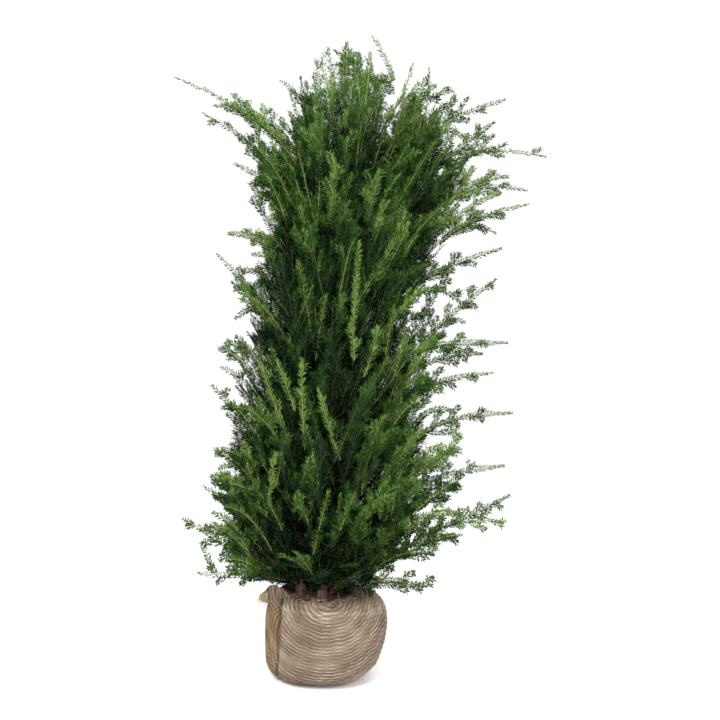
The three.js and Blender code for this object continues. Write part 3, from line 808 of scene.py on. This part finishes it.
# Smaller shoots of the outline, which have no solid of their own: root, tip, bow of the middle.
EXTRA_SHOOTS = [
    ((-0.240, 0.020, 1.740), (-0.442, 0.030, 1.910), 0.050),
    ((-0.165, -0.020, 1.490), (-0.232, -0.040, 1.535), 0.006),
    ((-0.185, 0.010, 1.440), (-0.202, 0.000, 1.490), 0.004),
    ((-0.080, 0.030, 1.850), (-0.146, 0.040, 1.944), 0.012),
    ((-0.230, 0.060, 1.120), (-0.345, 0.050, 1.129), 0.042),
    ((-0.150, -0.030, 1.330), (-0.284, -0.050, 1.402), 0.010),
    ((-0.150, 0.020, 1.300), (-0.292, 0.010, 1.350), 0.018),
    ((-0.150, 0.000, 1.350), (-0.226, -0.020, 1.450), 0.014),
    ((-0.230, -0.040, 0.960), (-0.344, -0.060, 1.036), 0.008),
    ((-0.270, 0.030, 0.720), (-0.352, 0.040, 0.800), 0.006),
    ((-0.250, 0.000, 0.648), (-0.354, -0.010, 0.618), 0.006),
    ((-0.250, 0.020, 0.655), (-0.338, 0.030, 0.645), 0.008),
    ((-0.240, -0.040, 0.470), (-0.349, -0.070, 0.592), 0.006),
    ((-0.260, 0.030, 0.480), (-0.388, 0.050, 0.576), 0.010),
    ((-0.200, 0.020, 0.370), (-0.335, 0.020, 0.343), 0.014),
    ((-0.360, -0.005, 0.290), (-0.396, -0.015, 0.380), 0.006),
    ((-0.170, -0.010, 0.330), (-0.300, -0.020, 0.328), 0.012),
    ((-0.005, 0.010, 1.960), (0.030, 0.020, 2.020), 0.004),
    ((0.130, 0.030, 1.930), (0.150, 0.030, 2.020), 0.004),
    ((0.240, 0.000, 1.900), (0.264, 0.000, 2.000), 0.006),
    ((0.255, -0.020, 1.900), (0.296, -0.030, 2.009), 0.006),
    ((0.250, -0.030, 1.880), (0.320, -0.040, 1.967), 0.010),
    ((0.250, -0.040, 1.880), (0.378, -0.060, 1.937), 0.012),
    ((0.320, 0.040, 1.680), (0.548, 0.060, 1.895), 0.006),
    ((0.330, -0.040, 1.790), (0.414, -0.050, 1.777), 0.016),
    ((0.360, -0.050, 1.510), (0.567, -0.080, 1.626), 0.038),
    ((0.390, 0.000, 1.490), (0.560, 0.000, 1.605), 0.008),
    ((0.380, 0.030, 1.440), (0.555, 0.050, 1.473), 0.040),
    ((0.260, 0.060, 1.060), (0.360, 0.080, 1.262), 0.004),
    ((0.230, -0.060, 1.190), (0.415, -0.090, 1.185), 0.042),
    ((0.300, 0.060, 0.985), (0.520, 0.090, 1.045), 0.018),
    ((0.380, 0.035, 1.130), (0.448, 0.035, 1.147), 0.010),
    ((0.425, 0.040, 1.195), (0.492, 0.045, 1.199), 0.010),
    ((0.285, -0.030, 0.790), (0.391, -0.050, 0.837), 0.020),
    ((0.280, -0.060, 0.620), (0.424, -0.090, 0.750), 0.000),
    ((0.280, 0.030, 0.610), (0.416, 0.040, 0.703), 0.006),
    ((0.290, -0.040, 0.510), (0.435, -0.070, 0.630), 0.005),
    ((0.290, 0.040, 0.500), (0.436, 0.050, 0.593), 0.008),
    ((0.250, -0.030, 0.480), (0.425, -0.040, 0.510), 0.006),
    ((0.290, 0.040, 0.400), (0.592, 0.060, 0.471), 0.032),
    ((0.245, 0.000, 0.350), (0.447, 0.000, 0.435), 0.020),
    ((0.230, 0.020, 0.350), (0.328, 0.030, 0.345), 0.010),
    ((0.150, -0.030, 0.268), (0.346, -0.050, 0.284), 0.006),
    ((0.150, -0.060, 0.290), (0.265, -0.080, 0.297), 0.006),
]


def build_long_shoots():
    """The shoots that make the outline: those of the frame, then the smaller ones beside them."""
    for name in sorted(NODES):
        if not name.startswith(("shoot_", "leader_")):
            continue
        line = centreline(name, 8)
        curve = curve_through(line[0], 0.5 * (line[3] + line[4]), line[-1])
        leader = name.startswith("leader_")
        add_long_shoot(curve, KIND["green"], full=not leader)
    for root, tip, bow in EXTRA_SHOOTS:
        root, tip = np.array(root), np.array(tip)
        chord = unit((tip - root)[None])[0]
        across = unit(np.cross(chord, [0, 0, 1.0])[None])[0]
        middle = 0.5 * (root + tip) + np.cross(across, chord) * bow
        kind = KIND[["mid", "green", "fresh"][int(rng.integers(3))]]
        add_long_shoot(curve_through(root, middle, tip), kind, 0.22, full=np.linalg.norm(tip - root) > 0.12)


def build_arching():
    """Loose shoots that rise steeply out of the body and arch over towards the sides."""
    for k in range(60):
        left = k % 2 == 0
        height = rng.uniform(1.32, 1.68) if left else rng.uniform(1.12, 1.62)
        angle = (math.pi if left else 0) + rng.normal(0, 0.55)
        root = around(np.array([angle]), 0.5 * reach_at(angle, height), np.array([height]))[0]
        top = height + rng.uniform(0.14, 0.30)
        tip = around(np.array([angle + rng.normal(0, 0.12)]), rng.uniform(0.8, 1.08) * reach_at(angle, top),
                     np.array([top]))[0]
        lift = rng.uniform(0.015, 0.05)
        outward = unit(((tip - root) * np.array([1, 1, 0]))[None])[0]
        middle = 0.5 * (root + tip) + lift * (0.8 * UP - 0.5 * outward)
        kind = KIND[["mid", "green", "green"][int(rng.integers(3))]]
        add_long_shoot(curve_through(root, middle, tip), kind, 0.25)


def build_strays():
    """Shoots that stand out all round and soften the outline, longer at the front and back."""
    n = 120
    angle = rng.uniform(0, 2 * np.pi, n)
    angle[:34] = rng.normal(0, 0.6, 34)
    height = rng.uniform(0.32, 1.62, n)
    height[34:54] = rng.uniform(0.30, 0.62, 20)
    angle[34:54] = rng.normal(np.pi, 0.6, 20)
    reach = reach_at(angle, height)
    root = around(angle, 0.82 * reach, height)
    length = rng.uniform(0.09, 0.16, n) + rng.uniform(0.0, 0.12, n) * np.abs(np.sin(angle))
    outward = np.stack([np.cos(angle), np.sin(angle), np.zeros(n)], 1)
    climb = np.radians(rng.normal(34, 14, n))[:, None]
    tip = root + (outward * np.cos(climb) + UP * np.sin(climb)) * length[:, None]
    for k in range(n):
        middle = 0.5 * (root[k] + tip[k]) + UP * 0.12 * length[k]
        add_long_shoot(curve_through(root[k], middle, tip[k]), KIND[["mid", "green", "fresh"][k % 3]], 0.2)


# ---------------------------------------------------------------- meshes of twigs and needles


def twig_mesh(points, radius, keep, steps, sides):
    """Thin tubes along the kept curves."""
    curves, thick = points[keep], radius[keep]
    n = len(curves)
    share = np.tile(np.linspace(0, 1, steps + 1), (n, 1))
    middle = bezier(curves, share)
    heading = bezier_heading(curves, share)
    side = unit(np.cross(heading, np.array([0.31, 0.17, 0.94])))
    lift = np.cross(heading, side)
    angle = np.arange(sides) / sides * 2 * np.pi
    around_it = (np.cos(angle)[:, None] * side[:, :, None] + np.sin(angle)[:, None] * lift[:, :, None])
    size = thick[:, None] * (1 - 0.62 * share)
    vertices = middle[:, :, None] + size[:, :, None, None] * around_it
    ring = np.arange(sides)
    row = np.arange(steps)[:, None] * sides
    a = (row + ring).ravel()
    b = (row + (ring + 1) % sides).ravel()
    faces = np.stack([a, b, b + sides, a + sides], 1)
    offset = np.arange(n)[:, None, None] * ((steps + 1) * sides)
    return vertices.reshape(-1, 3), (faces[None] + offset).reshape(-1, 4)


def needle_mesh(points, flat, bare, kind, ranks, size, width):
    """Needles in two ranks along each curve: folded lance shapes of four corners and two faces."""
    length = curve_length(points) * (1 - bare)
    counts = np.maximum(2, length / (NEEDLE_SPACING * np.minimum(size, size ** 2))).astype(int)
    shoot = np.repeat(np.arange(len(points)), counts * 2)
    index = np.concatenate([np.arange(c * 2) for c in counts])
    place = (index // 2 + rng.uniform(0.3, 0.7, len(index))) / counts[shoot]
    share = bare[shoot] + (1 - bare[shoot]) * place
    start = bezier(points[shoot], share)
    heading = bezier_heading(points[shoot], share)
    side = unit(np.cross(np.cross(heading, flat[shoot]), heading))
    normal = np.cross(heading, side)
    sign = np.where(index % 2 == 0, 1.0, -1.0)
    spin = rng.normal(0.25, 0.18, len(index)) + ranks[shoot] * rng.uniform(-1.2, 1.2, len(index))
    out = side * (sign * np.cos(spin))[:, None] + normal * np.sin(spin)[:, None]
    near_tip = np.clip((place - 0.82) / 0.18, 0, 1)
    lean = np.radians(rng.normal(NEEDLE_LEAN, 5, len(index)) - 30 * near_tip)
    direction = heading * np.cos(lean)[:, None] + out * np.sin(lean)[:, None]
    long = NEEDLE_LENGTH * size[shoot] * rng.uniform(0.8, 1.12, len(index)) * (1 - 0.35 * near_tip)
    long *= np.clip(0.75 + 4 * place, 0.75, 1)
    wide = 0.5 * NEEDLE_WIDTH * np.sqrt(size[shoot]) * width[shoot]
    across = unit(np.cross(direction, normal + 0.35 * rng.normal(0, 1, (len(index), 3))))
    belly = start + direction * (0.45 * long)[:, None] + normal * (0.0006 * size[shoot])[:, None]
    tip = start + direction * long[:, None] - normal * (0.05 * long)[:, None]
    corners = np.stack([start, belly + across * wide[:, None], tip, belly - across * wide[:, None]], 1)
    # Painted light: part of the needles that point upwards are stepped one kind lighter as a painted
    # highlight, and part of those that point level or downwards one kind darker as painted shade.
    roll = rng.uniform(0, 1, len(index))
    lit = (direction[:, 2] > 0.45) & (roll < 0.4)
    shaded = (direction[:, 2] < 0.1) & (roll < 0.6)
    shade = kind[shoot].astype(int) + lit - shaded
    return corners, np.clip(shade, KIND["deep_shade"], KIND["young"])


def build_foliage():
    """Twigs and needles of every shoot, joined by kind."""
    points, flat, bare, radius, kind, ranks, size, width = shoots.joined()
    replaced = [name for name in sorted(NODES) if name.startswith(("mass_", "shoot_", "leader_"))]
    thick = radius > TWIG_RADIUS
    heavy = Joined()
    heavy.add(*twig_mesh(points, radius, radius > BRANCH_RADIUS, 8, 5))
    heavy.build("branches", TWIG_BROWN)
    medium = Joined()
    medium.add(*twig_mesh(points, radius, thick & (radius <= BRANCH_RADIUS) & (kind > KIND["mid"]), 8, 4))
    medium.build("young_twigs", TWIG_GREEN)
    # Twigs of shoots of the mid kind and darker get the shaded olive; these include the shoots stepped
    # darker as painted shade.
    older = Joined()
    older.add(*twig_mesh(points, radius, thick & (radius <= BRANCH_RADIUS) & (kind <= KIND["mid"]), 8, 4))
    older.build("older_shaded_twigs", TWIG_OLIVE_SHADED)
    thin = Joined()
    thin.add(*twig_mesh(points, radius, ~thick & (radius > TWIGLET_RADIUS), 2, 3))
    thin.add(*twig_mesh(points, radius, radius <= TWIGLET_RADIUS, 1, 3))
    thin.build("side_twigs", TWIG_OLIVE_SHADED)
    corners, leaf_kind = needle_mesh(points, flat, bare, kind, ranks, size, width)
    for k, name in enumerate(LEAF_KINDS):
        chosen = corners[leaf_kind == k]
        halves = max(1, math.ceil(len(chosen) * 2 / PIECE_TRIANGLES))
        for part, block in enumerate(np.array_split(chosen, halves)):
            quad = np.arange(len(block))[:, None] * 4
            faces = np.concatenate([quad + np.array([0, 1, 2]), quad + np.array([0, 2, 3])], 0)
            share = replaced if (k, part) == (0, 0) else ()
            mesh_piece(f"needles_{name}_{part + 1}", block, faces, LEAF[name], share, smooth=False)


build_body()
build_inner()
build_uprights()
build_fans()
build_top()
build_foot()
build_long_shoots()
build_arching()
build_strays()
build_foliage()

# ---------------------------------------------------------------- root ball

BALL_LOW, BALL_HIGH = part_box("burlap_wrap")
BALL_MIDDLE = Vector(((BALL_LOW.x + BALL_HIGH.x) / 2, 0, 0.48 * BALL_HIGH.z))
BALL_COLUMNS = 400
BALL_ROWS = 180
RIM_REACH = 0.13
LIP_STEPS = ((0.05, 0.004), (0.14, 0.003), (0.24, -0.002), (0.34, -0.006), (0.44, -0.010), (0.54, -0.013),
             (0.62, -0.016), (0.65, -0.030))


def smooth_grid(grid, times):
    """Averages a grid with its neighbours; it closes round in its second direction."""
    for _ in range(times):
        below = np.vstack([grid[:1], grid[:-1]])
        above = np.vstack([grid[1:], grid[-1:]])
        grid = 0.4 * grid + 0.15 * (np.roll(grid, 1, 1) + np.roll(grid, -1, 1) + below + above)
    return grid


def build_burlap():
    """The wrap as one cloth: nested creases round a gather at the front and back, a seam at the left."""
    tree = node_tree(["burlap_wrap"])
    turn = np.arange(BALL_COLUMNS) / BALL_COLUMNS * 2 * np.pi

    def ball_reach(angle, up):
        outward = Vector((math.cos(angle) * math.cos(up), math.sin(angle) * math.cos(up), math.sin(up)))
        hit = tree.ray_cast(BALL_MIDDLE + outward, -outward, 1.0)
        return 1 - hit[3] if hit[0] else 0

    reach = np.zeros((BALL_ROWS, BALL_COLUMNS))
    pitch = np.zeros((BALL_ROWS, BALL_COLUMNS))
    for column, angle in enumerate(turn):
        rim = 0.3
        while ball_reach(angle, rim + 0.01) > RIM_REACH:
            rim += 0.01
        pitch[:, column] = np.linspace(-math.pi / 2 + 0.02, rim, BALL_ROWS)
        for row in range(BALL_ROWS):
            reach[row, column] = ball_reach(angle, pitch[row, column])
    reach = smooth_grid(reach, 44)
    pitch = smooth_grid(pitch, 8)
    level = np.cos(pitch)
    outward = np.stack([np.cos(turn)[None] * level, np.sin(turn)[None] * level, np.sin(pitch)], -1)
    base = np.array(BALL_MIDDLE) + outward * reach[..., None]
    x, y, z = base[..., 0], base[..., 1], base[..., 2]
    gather_x, gather_z = 0.035, 0.262
    side = np.abs(y) / np.maximum(np.hypot(x - BALL_MIDDLE.x, y), 1e-6)
    wander = value_noise(base, 14, 5) * 0.0045 + value_noise(base, 50, 6) * 0.0012
    rings = np.hypot((x - gather_x) * 0.74, z - gather_z) + 0.012 * (1 - side) + wander
    wavy = rings + 0.0011 * value_noise(base, 95, 12)
    crease = 1 - 2 * np.abs(np.sin(wavy / 0.0100 * np.pi)) ** 0.6
    fine = value_noise(np.stack([x * 0.4, y * 0.4, rings * 2.2], -1), 420, 8)
    panel = 1 / (1 + np.exp((x + 0.118 + 0.006 * value_noise(base, 30, 9)) / 0.004))
    upright = np.sin((y + 0.35 * x) / 0.0085 * 2 * np.pi + 2.0 * value_noise(base, 12, 11))
    crease = crease * (1 - panel) + upright * panel
    strength = 0.6 + 0.45 * np.clip(0.5 + 0.7 * value_noise(base, 26, 13), 0, 1)
    seam = np.exp(-((x + 0.118) / 0.0045) ** 2) * (y < 0)
    fold = np.exp(-((z - 0.218 - 0.008 * value_noise(base, 20, 15)) / 0.007) ** 2)
    relief = 0.0017 * crease * strength + 0.0005 * fine - 0.0035 * seam + 0.004 * fold * side
    relief += 0.003 * value_noise(base, 11, 17)
    knot = np.exp(-((x - 0.045) / 0.032) ** 2 - ((z - 0.212) / 0.02) ** 2) * (y < 0)
    relief += knot * (0.006 + 0.0045 * value_noise(base, 130, 19))
    relief *= np.clip((z - 0.002) / 0.02, 0, 1)
    final = base + outward * (relief - 0.001)[..., None]
    final[..., 2] = np.maximum(final[..., 2], 0.0)
    lip_rows = []
    edge = final[-1]
    soil_middle = np.array([axis_at(SOIL_TOP)[0], 0, SOIL_TOP])
    for inwards, drop in LIP_STEPS:
        lip = edge + (soil_middle - edge) * inwards
        lip[:, 2] = edge[:, 2] + drop + 0.0045 * value_noise(lip, 75, 21)
        lip_rows.append(lip[None])
    grid = np.concatenate([final, *lip_rows])
    # The ridge value paints light and shade into the cloth: lower in the creases and on the turned-in lip
    # as painted shade, and higher on the raised fold as painted light; the seam is lower too.
    ridge = 0.46 + 0.20 * crease * strength + 0.15 * fine - 0.3 * seam + 0.08 * fold
    pleats = 0.34 + 0.14 * np.sin(turn * 46 + 5 * value_noise(edge, 18, 23))
    ridge = np.concatenate([ridge, np.repeat(pleats[None], len(LIP_STEPS), 0)])
    rows = len(grid)
    vertices = grid.reshape(-1, 3)
    row, column = np.meshgrid(np.arange(rows - 1), np.arange(BALL_COLUMNS), indexing="ij")
    a = (row * BALL_COLUMNS + column).ravel()
    b = (row * BALL_COLUMNS + (column + 1) % BALL_COLUMNS).ravel()
    faces = np.stack([a, b, b + BALL_COLUMNS, a + BALL_COLUMNS], 1)
    wrap = mesh_piece("burlap_cloth", vertices, faces, BURLAP, ["burlap_wrap"])
    attribute = wrap.data.attributes.new("ridge", "FLOAT", "POINT")
    attribute.data.foreach_set("value", ridge.ravel().astype(np.float32))
    golden = np.concatenate([panel, np.repeat(panel[-1:], len(LIP_STEPS), 0)])
    attribute = wrap.data.attributes.new("panel", "FLOAT", "POINT")
    attribute.data.foreach_set("value", golden.ravel().astype(np.float32))


def build_soil():
    """The rough top of the soil inside the wrap's mouth."""
    centre = axis_at(SOIL_TOP)
    rings, columns = 26, 72
    reach = np.linspace(0.001, 0.118, rings)
    angle = np.arange(columns) / columns * 2 * np.pi
    x = centre[0] + reach[:, None] * np.cos(angle)
    y = reach[:, None] * np.sin(angle)
    flat = np.stack([x, y, np.full_like(x, SOIL_TOP)], -1)
    lift = 0.003 * value_noise(flat, 90, 31) + 0.002 * value_noise(flat, 240, 32)
    flat[..., 2] += lift + 0.16 * np.clip(reach - 0.08, 0, 1)[:, None] - 0.003
    row, column = np.meshgrid(np.arange(rings - 1), np.arange(columns), indexing="ij")
    a = (row * columns + column).ravel()
    b = (row * columns + (column + 1) % columns).ravel()
    faces = np.stack([a, b, b + columns, a + columns], 1)
    mesh_piece("soil_top", flat.reshape(-1, 3), faces, SOIL, ["soil_ball"])


def build_ear():
    """The ear of gathered cloth on the left shoulder, as a crumpled double sheet with a frayed edge."""
    low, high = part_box("burlap_ear")
    columns, rows = 44, 26
    u = np.linspace(0, 1, columns)[None, :]
    v = np.linspace(0, 1, rows)[:, None]
    arch = np.sin(np.pi * np.clip(u * 0.86 + 0.12, 0, 1)) ** 0.7
    x = low.x - 0.014 + (high.x - low.x + 0.022) * u + 0.012 * (v - 0.5) * (0.5 - u)
    y = low.y - 0.004 + (high.y - low.y) * (1 - u) * 0.9 + 0 * v
    z = low.z - 0.010 + (high.z - low.z + 0.004) * v * arch
    sheet = np.stack([x + 0 * v, y + 0 * v, z + 0 * u], -1)
    fold = 0.0045 * np.sin(26 * u + 3 * v) + 0.003 * np.sin(51 * u - 4 * v + 1)
    joined = Joined()
    for sign in (-1, 1):
        skin = sheet.copy()
        thick = 0.006 * np.sin(np.pi * u) * (1 - v ** 3) + 0.0006
        skin[..., 1] += fold * (0.35 + 0.65 * v) + sign * thick
        skin[..., 2] += 0.0025 * value_noise(skin, 90, 41) * v
        row, column = np.meshgrid(np.arange(rows - 1), np.arange(columns - 1), indexing="ij")
        a = (row * columns + column).ravel()
        quads = np.stack([a, a + 1, a + 1 + columns, a + columns], 1)
        joined.add(skin.reshape(-1, 3), quads if sign < 0 else quads[:, ::-1])
    ear = joined.build("burlap_flap", BURLAP, ["burlap_ear"])
    value = 0.36 + 0.16 * np.sin(60 * u + 8 * v)
    attribute = ear.data.attributes.new("ridge", "FLOAT", "POINT")
    attribute.data.foreach_set("value", np.tile(value.ravel(), 2).astype(np.float32))


def build_straws():
    """Loose jute threads and straw round the mouth of the wrap, and the frayed ends of the ear."""
    joined = Joined()
    middle = axis_at(SOIL_TOP)
    for _ in range(90):
        angle = rng.uniform(0, 2 * np.pi)
        reach = rng.uniform(0.085, 0.135)
        spot = np.array([middle[0] + reach * math.cos(angle) + 0.012, reach * math.sin(angle), 0.236])
        heading = unit(np.array([[-math.sin(angle), math.cos(angle), rng.normal(0, 0.18)]]) +
                       rng.normal(0, 0.35, (1, 3)))[0]
        size = rng.uniform(0.02, 0.055)
        line = spot + np.linspace(-0.5, 0.5, 6)[:, None] * heading * size
        line[:, 2] += 0.006 * np.cos(np.linspace(-1.5, 1.5, 6)) + rng.uniform(-0.004, 0.004)
        joined.add(*tube(line, np.full(6, rng.uniform(0.0005, 0.0011)), 4))
    low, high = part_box("burlap_ear")
    for _ in range(46):
        x = low.x - 0.012 + rng.uniform(-0.006, 0.02)
        spot = np.array([x, low.y + rng.uniform(0, 0.04), high.z - 0.03])
        fall = rng.uniform(0.018, 0.045)
        share = np.linspace(0, 1, 6)[:, None]
        line = spot + share * np.array([rng.uniform(-0.018, 0.0), rng.normal(0, 0.006), 0])
        line = line + (1 - (1 - share) ** 2) * np.array([0, 0, -fall])
        joined.add(*tube(line, np.full(6, 0.0006), 4))
    joined.build("straw_bits", STRAW)


build_burlap()
build_soil()
build_ear()
build_straws()

# ---------------------------------------------------------------- studio


def build_studio():
    """A plain pale floor, and soft light from the front and above."""
    size = 30.0
    mesh = bpy.data.meshes.new("studio_floor")
    corners = [(-size, -size, 0), (size, -size, 0), (size, size, 0), (-size, size, 0)]
    mesh.from_pydata([(x, y, -0.0005) for x, y, _ in corners], [], [(0, 1, 2, 3)])
    floor = bpy.data.objects.new("studio_floor", mesh)
    bpy.context.scene.collection.objects.link(floor)
    mesh.materials.append(noise_material("floor_pale", (0.94, 0.94, 0.94), (0.97, 0.97, 0.97), 2, 0.9, 0.0))
    world = bpy.data.worlds.new("studio_world")
    bpy.context.scene.world = world
    world.use_nodes = True
    world.node_tree.nodes["Background"].inputs["Color"].default_value = (1, 1, 1, 1)
    world.node_tree.nodes["Background"].inputs["Strength"].default_value = 1.08
    for name, place, aim, power, width in (
            ("key_light", (-1.6, -3.2, 3.6), (0, 0, 1.1), 210, 1.6),
            ("fill_light", (2.8, -2.4, 2.2), (0, 0, 1.0), 70, 2.0),
            ("back_light", (1.5, 3.0, 2.8), (0, 0, 1.2), 60, 2.0)):
        data = bpy.data.lights.new(name, "AREA")
        data.energy = power
        data.size = width
        light = bpy.data.objects.new(name, data)
        light.location = place
        light.rotation_euler = (Vector(aim) - Vector(place)).to_track_quat("-Z", "Y").to_euler()
        bpy.context.scene.collection.objects.link(light)


CAMERA_PLACE = Vector((0.093, -2.00, 0.75))
CAMERA_TILT = math.radians(7.0)
CAMERA_ROLL = math.radians(2.2)
CAMERA_LENS = 29.9


def build_camera():
    """The photo's view: 2 m in front, 0.75 m up, tilted up, and turned a little about its own axis."""
    data = bpy.data.cameras.new("camera")
    data.lens = CAMERA_LENS
    data.sensor_width = 36
    data.clip_end = 100
    camera = bpy.data.objects.new("camera", data)
    aim = Vector((0, math.cos(CAMERA_TILT), math.sin(CAMERA_TILT)))
    turn = aim.to_track_quat("-Z", "Y").to_matrix().to_4x4()
    roll = Matrix.Rotation(CAMERA_ROLL, 4, "Z")
    camera.matrix_world = Matrix.Translation(CAMERA_PLACE) @ turn @ roll
    bpy.context.scene.collection.objects.link(camera)
    bpy.context.scene.camera = camera


build_studio()
build_camera()
bpy.context.scene.view_settings.view_transform = "Standard"
